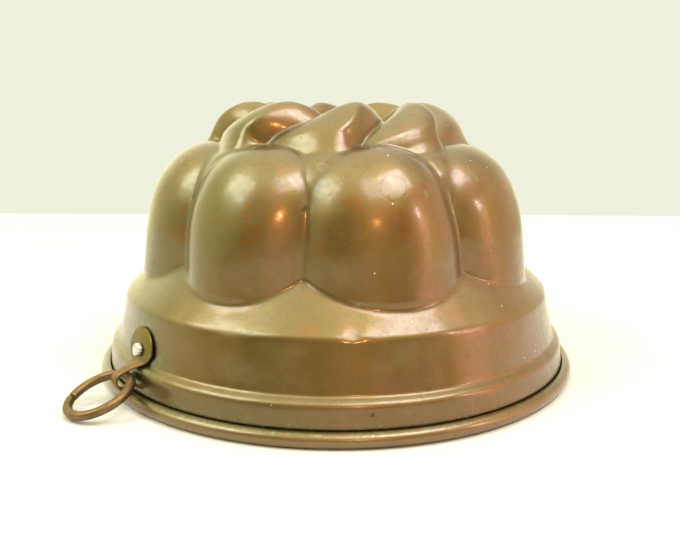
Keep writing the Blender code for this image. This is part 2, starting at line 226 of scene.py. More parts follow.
CREST_FAN = [math.degrees(math.atan2(z - FOCUS[1], r - FOCUS[0])) for r, z in CREST]
CREST_DIST = [math.hypot(z - FOCUS[1], r - FOCUS[0]) for r, z in CREST]


def smooth_curve(x, xs, ys):
    """Monotone cubic through the points, flat beyond the ends."""
    xs, ys = np.array(xs, float), np.array(ys, float)
    h, d = np.diff(xs), np.diff(ys) / np.diff(xs)
    m = np.zeros_like(ys)
    same = d[1:] * d[:-1] > 0
    m[1:-1][same] = 2 * d[1:][same] * d[:-1][same] / (d[1:][same] + d[:-1][same])
    m[0], m[-1] = d[0], d[-1]
    x = np.clip(x, xs[0], xs[-1])
    i = np.clip(np.searchsorted(xs, x) - 1, 0, len(h) - 1)
    t = (x - xs[i]) / h[i]
    return (ys[i] * (1 + 2 * t) * (1 - t) ** 2 + ys[i + 1] * t * t * (3 - 2 * t)
            + h[i] * t * (1 - t) * (m[i] * (1 - t) - m[i + 1] * t))


def crown_ray(az, fan):
    """Distance along a fan ray to the twisted strands, steeper on their leading side."""
    crest = np.where(fan < CREST_FAN[0], 0.0, smooth_curve(fan, CREST_FAN, CREST_DIST))
    valley = smooth_curve(fan, TURN_FAN, VALLEY_TURN)
    lean = smooth_curve(fan, TURN_FAN, CREST_TURN) - valley
    ahead = fold(az, GROOVE_AZ + valley) - lean
    behind = np.maximum(-ahead, 0.0) / (PITCH / 2 + lean)
    across = np.maximum(behind, np.maximum(ahead, 0.0) / (PITCH / 2 - lean))
    sag = (np.hypot(1.0, STRAND_PEAK * across) - 1) / (math.hypot(1.0, STRAND_PEAK) - 1)
    deep, reach, middle, width = PRESSED
    front = np.clip(1 - (((az + 180) % 360 - 180) / reach) ** 2, 0, None) ** 2
    press = deep * front * np.clip(1 - ((fan - middle) / width) ** 2, 0, None) ** 2
    return crest - press - smooth_curve(fan, DEPTH_FAN, DEPTH_MM) * sag


def wall_ray(az, fan):
    """Distance along a fan ray to the outer face of the upper body."""
    az, fan = np.broadcast_arrays(np.asarray(az, float), np.asarray(fan, float))
    off = fold(az, LOBE_AZ)
    lobes = smooth_max(lobe_ray(off, fan), lobe_ray(np.abs(off) - PITCH, fan), BLEND_GROOVE)
    wall = smooth_max(lobes, slope_ray(fan), BLEND_GROOVE)
    return smooth_max(wall, crown_ray(az, fan), BLEND_CREASE)


def crease(az, fan):
    """From 1 in the inside corners of the upper body to 0 away from them."""
    off = fold(az, LOBE_AZ)
    own, next_lobe = lobe_ray(off, fan), lobe_ray(np.abs(off) - PITCH, fan)
    slope, crown = slope_ray(fan), crown_ray(az, fan)
    lobes = np.maximum(own, next_lobe)
    wall = np.maximum(lobes, slope)
    top = np.maximum(wall, crown)
    found = np.zeros(np.shape(az))
    for a, b in ((own, next_lobe), (lobes, slope), (wall, crown)):
        shown = np.minimum(a, b) > top - 3 * CREASE_REACH
        found = np.maximum(found, np.exp(-((a - b) / CREASE_REACH) ** 2) * shown)
    valley = smooth_curve(fan, TURN_FAN, VALLEY_TURN)
    from_valley = np.abs(fold(az, GROOVE_AZ + valley + PITCH / 2))
    fade = np.interp(fan, CREASE_FADE, (1.0, 0.0))
    strand = np.exp(-(from_valley / CREASE_TURN) ** 2) * (crown > wall) * fade
    return np.maximum(found, strand)


def drift(az, fan):
    """Degrees by which the hand-chased grooves stray at an azimuth, none on the crown."""
    rise = np.interp(fan, STRAY_RISE, (0.0, 1.0))
    keep = np.interp(fan, STRAY_KEEP, (0.0, 1.0, 1.0, 0.0))
    total = np.zeros(np.shape(az))
    for place, foot, top in STRAYED:
        off = (az - place + 180.0) % 360.0 - 180.0
        near = np.cos(np.clip(off / STRAY_REACH, -1, 1) * math.pi / 2) ** 2
        total += near * (foot + (top - foot) * rise) * keep
    return total


def at(az, radius, z):
    """Point in metres."""
    a = np.radians(az)
    return np.stack(np.broadcast_arrays(radius * np.sin(a), -radius * np.cos(a), z), -1) * MM


def rounded(before, corner, after, take, steps):
    """Points along the curve that rounds a corner off."""
    b, c, a = (np.array(p, float) for p in (before, corner, after))
    u, v = (b - c) / np.linalg.norm(b - c), (a - c) / np.linalg.norm(a - c)
    t = np.linspace(0.0, 1.0, steps)[:, None]
    curve = (c + u * take) * (1 - t) ** 2 + 2 * c * t * (1 - t) + (c + v * take) * t ** 2
    return [tuple(p) for p in curve]


def between(a, b, steps):
    """Points strictly between two others."""
    return [tuple(np.array(a) * (1 - t) + np.array(b) * t) for t in np.linspace(0, 1, steps + 2)[1:-1]]


def lower_profile():
    """Outer face from the shoulder down to the bend above the bead."""
    edge = rounded(SLOPE_FOOT, SHOULDER, STEP_TOP, SHOULDER_ROUND, 7)
    hollow = rounded(SHOULDER, STEP_TOP, STEP_LOW, HOLLOW_ROUND, 5)
    ledge = rounded(STEP_TOP, STEP_LOW, BAND_LOW, STEP_ROUND, 6)
    bend = rounded(STEP_LOW, BAND_LOW, SEAM_BEND, BAND_ROUND, 3)
    return [*edge, *between(edge[-1], hollow[0], 6), *hollow, *ledge, *between(ledge[-1], bend[0], 3),
            *bend, SEAM_BEND]


def curl(radius, first, last, steps):
    """Arc round the wire, in degrees from the outward direction."""
    return [(BEAD_X + radius * math.cos(math.radians(a)), BEAD_Z + radius * math.sin(math.radians(a)))
            for a in np.linspace(first, last, steps)]


# waves of hand finishing: length and height (mm), and how many of each
WAVES = ((46.0, 0.16), (27.0, 0.10), (15.0, 0.045), (9.0, 0.02))
WAVES_EACH = 5
EVEN_LOW = 6.0              # the sheet is even below this height
EVEN_NECK = 24.0            # and inside this radius


def unevenness(points):
    """Slow waves of hand finishing over the sheet, mm, from a fixed set of plane waves."""
    draw = np.random.default_rng(7)
    p = points / MM
    total = np.zeros(p.shape[:-1])
    for wave, size in WAVES:
        for _ in range(WAVES_EACH):
            way = draw.normal(size=3)
            way /= np.linalg.norm(way)
            phase = draw.uniform(0, 2 * math.pi)
            total += size * np.sin(p @ way * (2 * math.pi / wave) + phase) / math.sqrt(WAVES_EACH)
    return total


# dents in the outer face: azimuth, height, half sizes along and up (mm), depth (mm)
DENTS = ((3.6, 34.2, 2.8, 1.5, 0.42), (5.8, 34.8, 2.0, 1.2, -0.16), (31.0, 33.4, 6.0, 1.6, 0.3),
         (-24.0, 33.2, 7.0, 1.8, 0.28), (58.0, 15.0, 5.0, 1.6, 0.3), (128.0, 32.5, 4.0, 2.4, 0.6),
         (205.0, 20.0, 7.0, 5.0, 0.6), (-110.0, 58.0, 6.0, 5.0, 0.35))


def dented(az, points):
    """Depth of the knocks the mould has taken over the years, mm."""
    z = points[..., 2] / MM
    radius = np.hypot(points[..., 0], points[..., 1]) / MM
    depth = np.zeros(z.shape)
    for place, height, wide, tall, deep in DENTS:
        along = np.radians((az - place + 180.0) % 360.0 - 180.0) * radius
        depth += deep * np.exp(-(along / wide) ** 2 - ((z - height) / tall) ** 2)
    return depth


def fan_rows(low, wall, dome):
    """Fan angles from the shoulder to the collar, closest where the surface turns most."""
    return np.concatenate([np.linspace(FAN_FOOT, 0.0, low, endpoint=False),
                           np.linspace(0.0, FAN_BEND, wall, endpoint=False),
                           np.linspace(FAN_BEND, FAN_TOP, dome)])


def upper_rows(fans, columns):
    """Rows of the upper body from the collar down to the shoulder, with their azimuths."""
    az = GROOVE_AZ + np.arange(columns) * (360.0 / columns)
    turn = VALLEY_TURN[-1]
    azs = [az + turn for _ in COLLAR_RISE]
    # dirt and painted shade where the neck goes down into the tube
    dirt_and_shade = [np.full(columns, COLLAR_DIRT_AND_SHADE) for _ in COLLAR_RISE]
    rows = [at(az + turn, COLLAR_R, COLLAR_Z + rise) for rise in COLLAR_RISE]
    for fan in fans[::-1]:
        a = az + smooth_curve(fan, TURN_FAN, VALLEY_TURN)
        t = wall_ray(a, fan)
        dirt_and_shade.append(crease(a, fan))
        a = a + drift(a, fan)
        c, s = math.cos(math.radians(fan)), math.sin(math.radians(fan))
        rows.append(at(a, FOCUS[0] + t * c, FOCUS[1] + t * s))
        azs.append(a)
    return azs, rows, dirt_and_shade


def surface(fans, columns, inner):
    """Rows of one face of the sheet, from the collar down to the bend above the bead, and their dirt with
    painted shade.
    """
    azs, rows, dirt_and_shade = upper_rows(fans, columns)
    az = GROOVE_AZ + np.arange(columns) * (360.0 / columns)
    for r, z in lower_profile():
        rows.append(at(az, r, z))
        azs.append(az)
        # dirt and painted shade in the seam above the bead
        dirt_and_shade.append(np.full(columns, math.exp(-((z - SEAM_BEND[1]) / SEAM_DIRT_AND_SHADE) ** 2)))
    grid, azs = np.array(rows), np.array(azs)
    down = np.gradient(grid, axis=0)
    along = np.roll(grid, -1, 1) - np.roll(grid, 1, 1)
    normal = np.cross(along, down)
    normal /= np.linalg.norm(normal, axis=2)[..., None]
    height = grid[..., 2] / MM
    radius = np.hypot(grid[..., 0], grid[..., 1]) / MM
    still = np.clip((height - EVEN_LOW) / 6.0, 0, 1) * np.clip((radius - EVEN_NECK) / 8.0, 0, 1)
    crown = np.clip((CROWN_TOP - height) / 4.0, 0.15, 1.0)
    push = unevenness(grid) * still * crown + dented(azs, grid)
    if inner:
        push = push + SHEET
    return grid + normal * (push * MM)[..., None], dirt_and_shade


# ---------------------------------------------------------------- mesh helpers

def new_object(name, verts, faces, smooth=True):
    mesh = bpy.data.meshes.new(name)
    mesh.from_pydata([tuple(map(float, v)) for v in verts], [], faces)
    bm = bmesh.new()
    bm.from_mesh(mesh)
    bmesh.ops.recalc_face_normals(bm, faces=bm.faces)
    bm.to_mesh(mesh)
    bm.free()
    for poly in mesh.polygons:
        poly.use_smooth = smooth
    obj = bpy.data.objects.new(name, mesh)
    bpy.context.scene.collection.objects.link(obj)
    return obj


def join_rows(rows):
    """Faces between rings of points in a closed run of rows; a ring may have half its neighbour's points."""
    starts = np.concatenate([[0], np.cumsum([len(r) for r in rows])])
    faces = []
    for i, row in enumerate(rows):
        k = (i + 1) % len(rows)
        a, b, n, m = int(starts[i]), int(starts[k]), len(row), len(rows[k])
        if n == m:
            for j in range(n):
                e = (j + 1) % n
                faces.append((a + j, a + e, b + e, b + j))
        elif n == 2 * m:
            for j in range(m):
                faces.append((a + 2 * j, a + 2 * j + 1, a + (2 * j + 2) % n, b + (j + 1) % m, b + j))
        else:
            for j in range(n):
                faces.append((a + j, a + (j + 1) % n, b + (2 * j + 2) % m, b + 2 * j + 1, b + 2 * j))
    return faces


def sweep(sections):
    """Closed solid through a list of sections with equal point counts, ends capped."""
    count = len(sections[0])
    verts = [p for s in sections for p in s]
    faces = []
    for i in range(len(sections) - 1):
        for j in range(count):
            k = (j + 1) % count
            faces.append((i * count + j, i * count + k, (i + 1) * count + k, (i + 1) * count + j))
    faces.append(tuple(range(count)))
    faces.append(tuple((len(sections) - 1) * count + i for i in reversed(range(count))))
    return verts, faces


# ---------------------------------------------------------------- materials

class Paint:
    """Short-hand for building one node material."""

    def __init__(self, name):
        self.mat = bpy.data.materials.new(name)
        self.mat.use_nodes = True
        self.tree = self.mat.node_tree
        self.shader = self.tree.nodes["Principled BSDF"]
        self.coords = self.tree.nodes.new("ShaderNodeTexCoord").outputs["Object"]

    def node(self, kind, **settings):
        made = self.tree.nodes.new(kind)
        for key, value in settings.items():
            setattr(made, key, value)
        return made

    def put(self, socket, value):
        if isinstance(value, bpy.types.NodeSocket):
            self.tree.links.new(value, socket)
        elif isinstance(value, (int, float)):
            socket.default_value = value
        else:
            socket.default_value = (*value, 1.0) if len(socket.default_value) == 4 else value

    def stretched(self, scale):
        """Object coordinates multiplied per axis."""
        node = self.node("ShaderNodeVectorMath", operation="MULTIPLY")
        self.put(node.inputs[0], self.coords)
        node.inputs[1].default_value = scale
        return node.outputs[0]

    def noise(self, size_mm, detail=4.0, rough=0.55, warp=0.0, where=None):
        """Cloudy noise whose features are about size_mm across."""
        node = self.node("ShaderNodeTexNoise")
        self.put(node.inputs["Vector"], where if where is not None else self.coords)
        node.inputs["Scale"].default_value = 1.0 / (size_mm * MM)
        node.inputs["Detail"].default_value = detail
        node.inputs["Roughness"].default_value = rough
        node.inputs["Distortion"].default_value = warp
        return node.outputs["Fac"]

    def cells(self, size_mm):
        """Distance to scattered points about size_mm apart, in units of that spacing."""
        node = self.node("ShaderNodeTexVoronoi")
        self.put(node.inputs["Vector"], self.coords)
        node.inputs["Scale"].default_value = 1.0 / (size_mm * MM)
        return node

    def span(self, value, low, high, to_low=0.0, to_high=1.0, smooth=True):
        """Value mapped from low..high to to_low..to_high."""
        node = self.node("ShaderNodeMapRange")
        node.interpolation_type = "SMOOTHSTEP" if smooth else "LINEAR"
        ends = {"Value": value, "From Min": low, "From Max": high, "To Min": to_low, "To Max": to_high}
        for key, x in ends.items():
            self.put(node.inputs[key], x)
        return node.outputs["Result"]

    def calc(self, operation, a, b=0.0):
        node = self.node("ShaderNodeMath", operation=operation)
        self.put(node.inputs[0], a)
        self.put(node.inputs[1], b)
        return node.outputs[0]

    def mix(self, share, a, b):
        """Colour between a and b."""
        node = self.node("ShaderNodeMix", data_type="RGBA")
        self.put(node.inputs["Factor"], share)
        self.put(node.inputs[6], a)
        self.put(node.inputs[7], b)
        return node.outputs[2]

    def blend(self, share, a, b):
        """Number between a and b."""
        node = self.node("ShaderNodeMix", data_type="FLOAT")
        self.put(node.inputs["Factor"], share)
        self.put(node.inputs[2], a)
        self.put(node.inputs[3], b)
        return node.outputs[0]

    def axis(self, which):
        node = self.node("ShaderNodeSeparateXYZ")
        self.put(node.inputs[0], self.coords)
        return node.outputs[which]

    def facing(self, direction):
        """How far the surface, at rest, faces a direction of the object's own frame, -1 to 1."""
        coords = self.node("ShaderNodeTexCoord")
        node = self.node("ShaderNodeVectorMath", operation="DOT_PRODUCT")
        self.put(node.inputs[0], coords.outputs["Normal"])
        node.inputs[1].default_value = Vector(direction).normalized()
        return node.outputs["Value"]

    def distance(self, point_m):
        node = self.node("ShaderNodeVectorMath", operation="DISTANCE")
        self.put(node.inputs[0], self.coords)
        node.inputs[1].default_value = point_m
        return node.outputs["Value"]

    def bump(self, height, size_mm, after=None):
        """Relief size_mm high, on top of the relief given as after."""
        node = self.node("ShaderNodeBump")
        node.inputs["Strength"].default_value = 1.0
        node.inputs["Distance"].default_value = size_mm * MM
        self.put(node.inputs["Height"], height)
        if after is not None:
            self.put(node.inputs["Normal"], after)
        return node.outputs["Normal"]

    def finish(self, **inputs):
        for key, value in inputs.items():
            self.put(self.shader.inputs[key.replace("_", " ")], value)
        return self.mat


# mask of dirt and painted shade in the inside corners
DIRT_AND_SHADE = "dirt_and_shade"
OLIVE = (0.142, 0.110, 0.025)
BROWN = (0.166, 0.104, 0.020)
# pink of a painted reflection on the sides facing right
ROSE_REFLECTION = (0.255, 0.105, 0.060)
WARM = (0.275, 0.172, 0.080)
WARM_DARK = (0.190, 0.125, 0.050)
GOLD = (0.215, 0.168, 0.052)
ORANGE = (0.215, 0.084, 0.008)
DARK = (0.040, 0.030, 0.010)
VERDIGRIS = (0.17, 0.25, 0.13)
PALE_GREEN = (0.24, 0.24, 0.10)
DUST = (0.80, 0.80, 0.70)
COAT = 0.9                  # thin clear film of wax and patina over the copper

# stains on the outside, and painted shade in the notches where strand valleys meet the grooves: azimuth,
# height, radius (mm), kind
STAINS_AND_NOTCH_SHADE = ((-54.0, 68.5, 2.1, "blot"), (-53.9, 60.0, 3.2, "ring"), (-23.7, 72.4, 2.5, "ring"),
          (-22.2, 65.0, 3.5, "ring"), (4.3, 76.0, 2.8, "ring"), (15.2, 71.6, 2.9, "ring"),
          (20.2, 78.6, 2.7, "blot"), (15.1, 80.7, 4.6, "disc"), (-4.7, 86.9, 2.7, "disc"),
          (46.9, 81.4, 1.5, "disc"), (53.3, 82.0, 2.4, "blot"), (48.7, 77.1, 2.2, "blot"),
          (54.6, 76.9, 1.6, "ring"), (7.0, 10.5, 1.7, "spot"), (-4.8, 59.9, 2.4, "ring"),
          (16.7, 65.7, 3.2, "blot"), (-21.0, 40.4, 1.5, "ring"), (5.0, 42.5, 1.6, "green"),
          (2.1, 44.7, 2.2, "blot"), (24.9, 78.3, 1.5, "green"), (22.0, 92.0, 1.3, "green"),
          (-31.4, 100.1, 2.6, "blot"), (11.7, 91.6, 3.4, "blot"), (-50.9, 90.7, 3.0, "blot"),
          (-6.0, 36.0, 4.0, "blot"), (12.0, 43.5, 3.0, "blot"),
          (-8.6, 73.4, 1.7, "notch_shade"), (-51.6, 74.2, 1.5, "notch_shade"), (-9.6, 73.0, 1.2, "notch_shade"),
          (98.0, 66.0, 3.0, "ring"), (112.0, 78.0, 2.2, "blot"), (140.0, 60.0, 4.2, "disc"),
          (163.0, 72.0, 2.8, "ring"), (187.0, 50.0, 2.6, "blot"), (204.0, 79.0, 3.3, "ring"),
          (231.0, 62.0, 2.4, "ring"), (262.0, 70.0, 3.0, "blot"), (150.0, 24.0, 2.4, "spot"))


def add_stain_or_notch_shade(p, colour, rough, point, radius, kind, warp):
    """Colour and roughness with one stain, or one patch of painted shade, laid over them."""
    away = p.calc("ADD", p.distance(point), warp)
    r = radius * MM
    core = p.span(away, 0.45 * r, 0.95 * r, 1.0, 0.0)
    rim = p.calc("MULTIPLY", p.span(away, 0.5 * r, 0.85 * r), p.span(away, 0.85 * r, 1.2 * r, 1.0, 0.0))
    if kind == "ring":
        colour = p.mix(p.calc("MULTIPLY", core, 0.3), colour, ORANGE)
        colour = p.mix(p.calc("MULTIPLY", rim, 0.7), colour, ORANGE)
    elif kind == "blot":
        colour = p.mix(p.calc("MULTIPLY", core, 0.42), colour, ORANGE)
    elif kind == "spot":
        colour = p.mix(p.span(away, 0.5 * r, 1.3 * r, 0.7, 0.0), colour, ORANGE)
        colour = p.mix(p.span(away, 0.15 * r, 0.4 * r, 1.0, 0.0), colour, DARK)
    elif kind == "notch_shade":
        # painted shade in a notch where a strand's valley meets a groove
        colour = p.mix(p.calc("MULTIPLY", core, 0.5), colour, DARK)
        rough = p.blend(core, rough, 0.7)
    elif kind == "green":
        colour = p.mix(p.calc("MULTIPLY", core, 0.45), colour, VERDIGRIS)
    else:
        colour = p.mix(p.span(away, 0.8 * r, 1.0 * r, 0.22, 0.0), colour, PALE_GREEN)
        line = p.calc("MULTIPLY", p.span(away, 0.85 * r, 0.97 * r),
                      p.span(away, 0.97 * r, 1.08 * r, 1.0, 0.0))
        colour = p.mix(p.calc("MULTIPLY", line, 0.38), colour, DARK)
        rough = p.blend(p.span(away, 0.8 * r, 1.0 * r, 0.5, 0.0), rough, 0.5)
    return colour, rough


def copper_patina(places):
    """Old copper: brown and olive patina, wiped thin in places, with stains, dust and dirt in the seams,
    painted shade in the seams, notches and round the hanger's tab, a painted pink reflection on the sides
    facing right, and a dust film that adds a painted sheen on upward faces.
    """
    p = Paint("copper_patina")
    broad = p.noise(70.0, detail=3.0, warp=0.6)
    cloud = p.noise(16.0, detail=6.0, rough=0.6, warp=0.4)
    fine = p.noise(2.2, detail=5.0, rough=0.65)
    streak = p.noise(7.0, detail=5.0, where=p.stretched((1.0, 1.0, 0.15)))
    turned = p.noise(11.0, detail=4.0, where=p.stretched((0.25, 0.25, 2.2)))
    colour = p.mix(p.span(broad, 0.36, 0.62), OLIVE, BROWN)
    # painted pink reflection on the sides facing right and to the front, broken into upright streaks
    pink_reflection_side = p.span(p.facing((0.85, -0.5, 0.0)), -0.1, 0.9)
    colour = p.mix(p.calc("MULTIPLY", pink_reflection_side, p.span(streak, 0.38, 0.6, 0.15, 0.6)), colour, ROSE_REFLECTION)
    colour = p.mix(p.calc("MULTIPLY", p.span(cloud, 0.5, 0.72), 0.35), colour, GOLD)
    colour = p.mix(p.calc("MULTIPLY", p.span(turned, 0.45, 0.7), 0.25), colour, BROWN)
    blotch = p.noise(5.5, detail=5.0, rough=0.7, warp=1.0)
    colour = p.mix(p.calc("MULTIPLY", p.span(blotch, 0.6, 0.72), 0.5), colour, ORANGE)
    colour = p.mix(p.calc("MULTIPLY", p.span(fine, 0.35, 0.7), 0.3), colour, tuple(0.8 * c for c in OLIVE))
    rough = p.calc("ADD", p.blend(p.span(cloud, 0.3, 0.7), 0.36, 0.46), p.span(fine, 0.35, 0.75, -0.03, 0.07))
    warp = p.span(p.noise(2.6, detail=3.0), 0.2, 0.8, -0.9 * MM, 0.9 * MM, smooth=False)
    for point, radius, kind in places:
        colour, rough = add_stain_or_notch_shade(p, colour, rough, point, radius, kind, warp)

    # the bead, rubbed browner by handling
    bead = p.span(p.axis(2), (SEAM_BEND[1] - 0.8) * MM, SEAM_BEND[1] * MM, 1.0, 0.0)
    colour = p.mix(p.calc("MULTIPLY", bead, 0.4), colour, WARM)

    # dirt and painted shade in the inside corners, the seam above the bead and the collar, and verdigris
    # along the rolled rim
    attribute = p.node("ShaderNodeAttribute", attribute_name=DIRT_AND_SHADE)
    patchy = p.span(blotch, 0.3, 0.6, 0.45, 1.0)
    dirt_and_shade = p.calc("MULTIPLY", p.span(attribute.outputs["Fac"], 0.15, 1.0), patchy)
    # dark colour from the corner mask: partly dirt, partly painted shade in the corners, the seam and the
    # collar
    colour = p.mix(p.calc("MULTIPLY", dirt_and_shade, 0.32), colour, DARK)
    rim_near = p.calc("MULTIPLY", p.span(p.axis(2), SEAM_BEND[1] * MM, (SEAM_BEND[1] + 5.0) * MM, 1.0, 0.0),
                      p.span(p.axis(2), (SEAM_BEND[1] - 0.6) * MM, SEAM_BEND[1] * MM))
    crust = p.calc("MULTIPLY", rim_near, p.span(p.noise(1.6, detail=5.0, rough=0.7), 0.5, 0.66))
    colour = p.mix(p.calc("MULTIPLY", crust, 0.7), colour, VERDIGRIS)
    from_rivet = p.distance(Vector(hanger_point(SKIRT_R, RIVET_Z, 0.0)))
    # painted shadow of the hanger's tab on the skirt, with some grime: a dark ring just round the tab's edge
    hanger = p.span(from_rivet, (TAB_R - 0.6) * MM, (TAB_R + 1.4) * MM, 1.0, 0.0)
    colour = p.mix(p.calc("MULTIPLY", hanger, 0.85), colour, DARK)
    halo = p.span(from_rivet, TAB_R * MM, (TAB_R + 7.0) * MM, 1.0, 0.0)
    halo = p.calc("MULTIPLY", halo, p.span(p.noise(2.4, detail=5.0, rough=0.7), 0.45, 0.62))
    colour = p.mix(p.calc("MULTIPLY", halo, 0.45), colour, VERDIGRIS)

    # specks of pale dust and small dark pits, and a pale dust film on upward faces that also paints a sheen
    # there
    specks = p.cells(6.5)
    speck = p.calc("MULTIPLY", p.span(specks.outputs["Distance"], 0.028, 0.05, 1.0, 0.0),
                   p.span(specks.outputs["Color"], 0.55, 0.6))
    pits = p.cells(2.3)
    pit = p.calc("MULTIPLY", p.span(pits.outputs["Distance"], 0.05, 0.14, 1.0, 0.0),
                 p.span(pits.outputs["Color"], 0.6, 0.65))
    colour = p.mix(p.calc("MULTIPLY", pit, 0.55), colour, DARK)
    colour = p.mix(speck, colour, DUST)
    # pale film on faces turned up: partly settled dust, partly a painted sheen where the tops catch the light
    grit = p.span(p.noise(0.55, detail=2.0, rough=0.7), 0.50, 0.72)
    upward = p.span(p.facing((0.0, 0.0, 1.0)), 0.1, 0.9)
    settled_dust_and_sheen = p.calc("MULTIPLY", upward, p.span(cloud, 0.3, 0.6, 0.35, 1.0))
    dust_and_sheen = p.calc("MULTIPLY", settled_dust_and_sheen, p.calc("ADD", p.calc("MULTIPLY", grit, 0.08), 0.015))
    colour = p.mix(dust_and_sheen, colour, DUST)
    dull = p.calc("MAXIMUM", dust_and_sheen, p.calc("MULTIPLY", dirt_and_shade, 0.2))
    metal = p.calc("SUBTRACT", 1.0, p.calc("MAXIMUM", speck, dull))
    waves = p.bump(p.noise(6.0, detail=3.0), 0.05)
    grain = p.bump(p.noise(0.7, detail=3.0), 0.012, after=waves)
    normal = p.bump(p.calc("SUBTRACT", 1.0, pit), 0.05, after=grain)
    gloss = p.calc("ADD", p.span(cloud, 0.3, 0.7, 0.09, 0.17), p.span(fine, 0.4, 0.8, 0.0, 0.12))
    return p.finish(Base_Color=colour, Roughness=rough, Metallic=metal, Normal=normal, Coat_Weight=COAT,
                    Coat_Roughness=gloss, Coat_IOR=1.5, Coat_Normal=normal)


def tinned(name, shade=1.0):
    """Dull grey tin, wiped on by hand and darkened with use."""
    p = Paint(name)
    cloud = p.noise(22.0, detail=6.0, rough=0.6, warp=0.8)
    wipe = p.noise(6.0, detail=4.0, where=p.stretched((1.0, 1.0, 0.25)))
    grey = tuple(shade * c for c in (0.50, 0.49, 0.46))
    dull = tuple(shade * c for c in (0.27, 0.25, 0.22))
    colour = p.mix(p.span(cloud, 0.35, 0.68), dull, grey)
    colour = p.mix(p.calc("MULTIPLY", p.span(cloud, 0.66, 0.78), 0.5), colour, BROWN)
    rough = p.span(wipe, 0.3, 0.7, 0.28, 0.5)
    normal = p.bump(wipe, 0.06)
    return p.finish(Base_Color=colour, Roughness=rough, Metallic=1.0, Normal=normal)


def worn_copper(name, dark=0.0):
    """Handled copper of the strap and ring, browner and smoother than the body."""
    p = Paint(name)
    cloud = p.noise(5.0, detail=6.0, rough=0.62, warp=0.5)
    fine = p.noise(0.9, detail=4.0)
    colour = p.mix(p.span(cloud, 0.38, 0.62), WARM, WARM_DARK)
    colour = p.mix(p.calc("MULTIPLY", p.span(cloud, 0.6, 0.75), 0.5), colour, GOLD)
    patina = p.span(p.calc("ADD", p.axis(2), p.span(cloud, 0.3, 0.7, -MM, MM)), 15 * MM, 19 * MM)
    colour = p.mix(p.calc("MULTIPLY", patina, 0.8), colour, tuple(1.25 * c for c in OLIVE))
    colour = p.mix(dark, colour, DARK)
    rough = p.span(fine, 0.3, 0.7, 0.36, 0.5)
    normal = p.bump(fine, 0.03)
    return p.finish(Base_Color=colour, Roughness=rough, Metallic=1.0, Normal=normal)


def bright_tin():
    """Silvery rivet metal with small hammer marks."""
    p = Paint("rivet_tin_bright")
    marks = p.noise(1.4, detail=3.0)
    colour = p.mix(p.span(marks, 0.4, 0.7), (0.72, 0.73, 0.72), (0.45, 0.44, 0.41))
    normal = p.bump(marks, 0.12)
    rough = p.span(marks, 0.3, 0.7, 0.22, 0.4)
    return p.finish(Base_Color=colour, Roughness=rough, Metallic=1.0, Normal=normal)


def drawn_steel():
    """Dark oiled wire."""
    p = Paint("rim_wire_steel")
    grain = p.noise(1.5, detail=4.0)
    colour = p.mix(p.span(grain, 0.35, 0.65), (0.20, 0.19, 0.18), (0.34, 0.30, 0.26))
    return p.finish(Base_Color=colour, Roughness=p.span(grain, 0.3, 0.7, 0.35, 0.55), Metallic=1.0,
                    Normal=p.bump(grain, 0.03))


def pale_floor():
    p = Paint("floor_pale")
    weave = p.noise(60.0, detail=4.0)
    colour = p.mix(p.span(weave, 0.3, 0.7), (0.64, 0.635, 0.59), (0.68, 0.675, 0.63))
    return p.finish(Base_Color=colour, Roughness=0.9, Metallic=0.0)


# ---------------------------------------------------------------- pieces

def build_shell(tin):
    """The pressed sheet with its rolled rim, copper outside and tinned inside."""
    outer, dirt_and_shade = surface(fan_rows(*FAN_FINE), COLUMNS, False)
    inner, _ = surface(fan_rows(*FAN_COARSE), COLUMNS_IN, True)
    outer, inner = list(outer), list(inner)
    az = GROOVE_AZ + np.arange(COLUMNS) * (360.0 / COLUMNS)
    az_in = GROOVE_AZ + np.arange(COLUMNS_IN) * (360.0 / COLUMNS_IN)
    outer += [at(az, r, z) for r, z in curl(BEAD_R - SHEET, CURL_START, CURL_END, 14)]
    outer += [at(az, r, z) for r, z in curl(BEAD_R, CURL_END, CURL_FOOT, 30)]
    tail = [at(az_in, r, z) for r, z in curl(BEAD_R, CURL_FOOT - 10.0, CURL_START, 4)]
    rows = outer + tail + inner[::-1]
    shell = new_object("copper_shell", [p for row in rows for p in row], join_rows(rows))
    shell.data.materials.append(None)
    shell.data.materials.append(tin)
    values = np.zeros(len(shell.data.vertices), np.float32)
    known = np.concatenate(dirt_and_shade)
    values[:len(known)] = known
    shell.data.attributes.new(DIRT_AND_SHADE, "FLOAT", "POINT").data.foreach_set("value", values)
    # new_object keeps face order: the tinned faces start at the bead's foot
    first_tin = (len(outer) - 1) * COLUMNS
    for poly in shell.data.polygons:
        poly.material_index = 1 if poly.index >= first_tin else 0
    return shell


def build_wire(steel):
    az = np.arange(WIRE_COLUMNS) * (360.0 / WIRE_COLUMNS)
    rows = [at(az, BEAD_X + WIRE_R * math.cos(a), BEAD_Z + WIRE_R * math.sin(a))
            for a in np.arange(WIRE_SIDES) * (2 * math.pi / WIRE_SIDES)]
    wire = new_object("bead_wire", [p for r in rows for p in r], join_rows(rows))
    wire.data.materials.append(steel)
    return wire


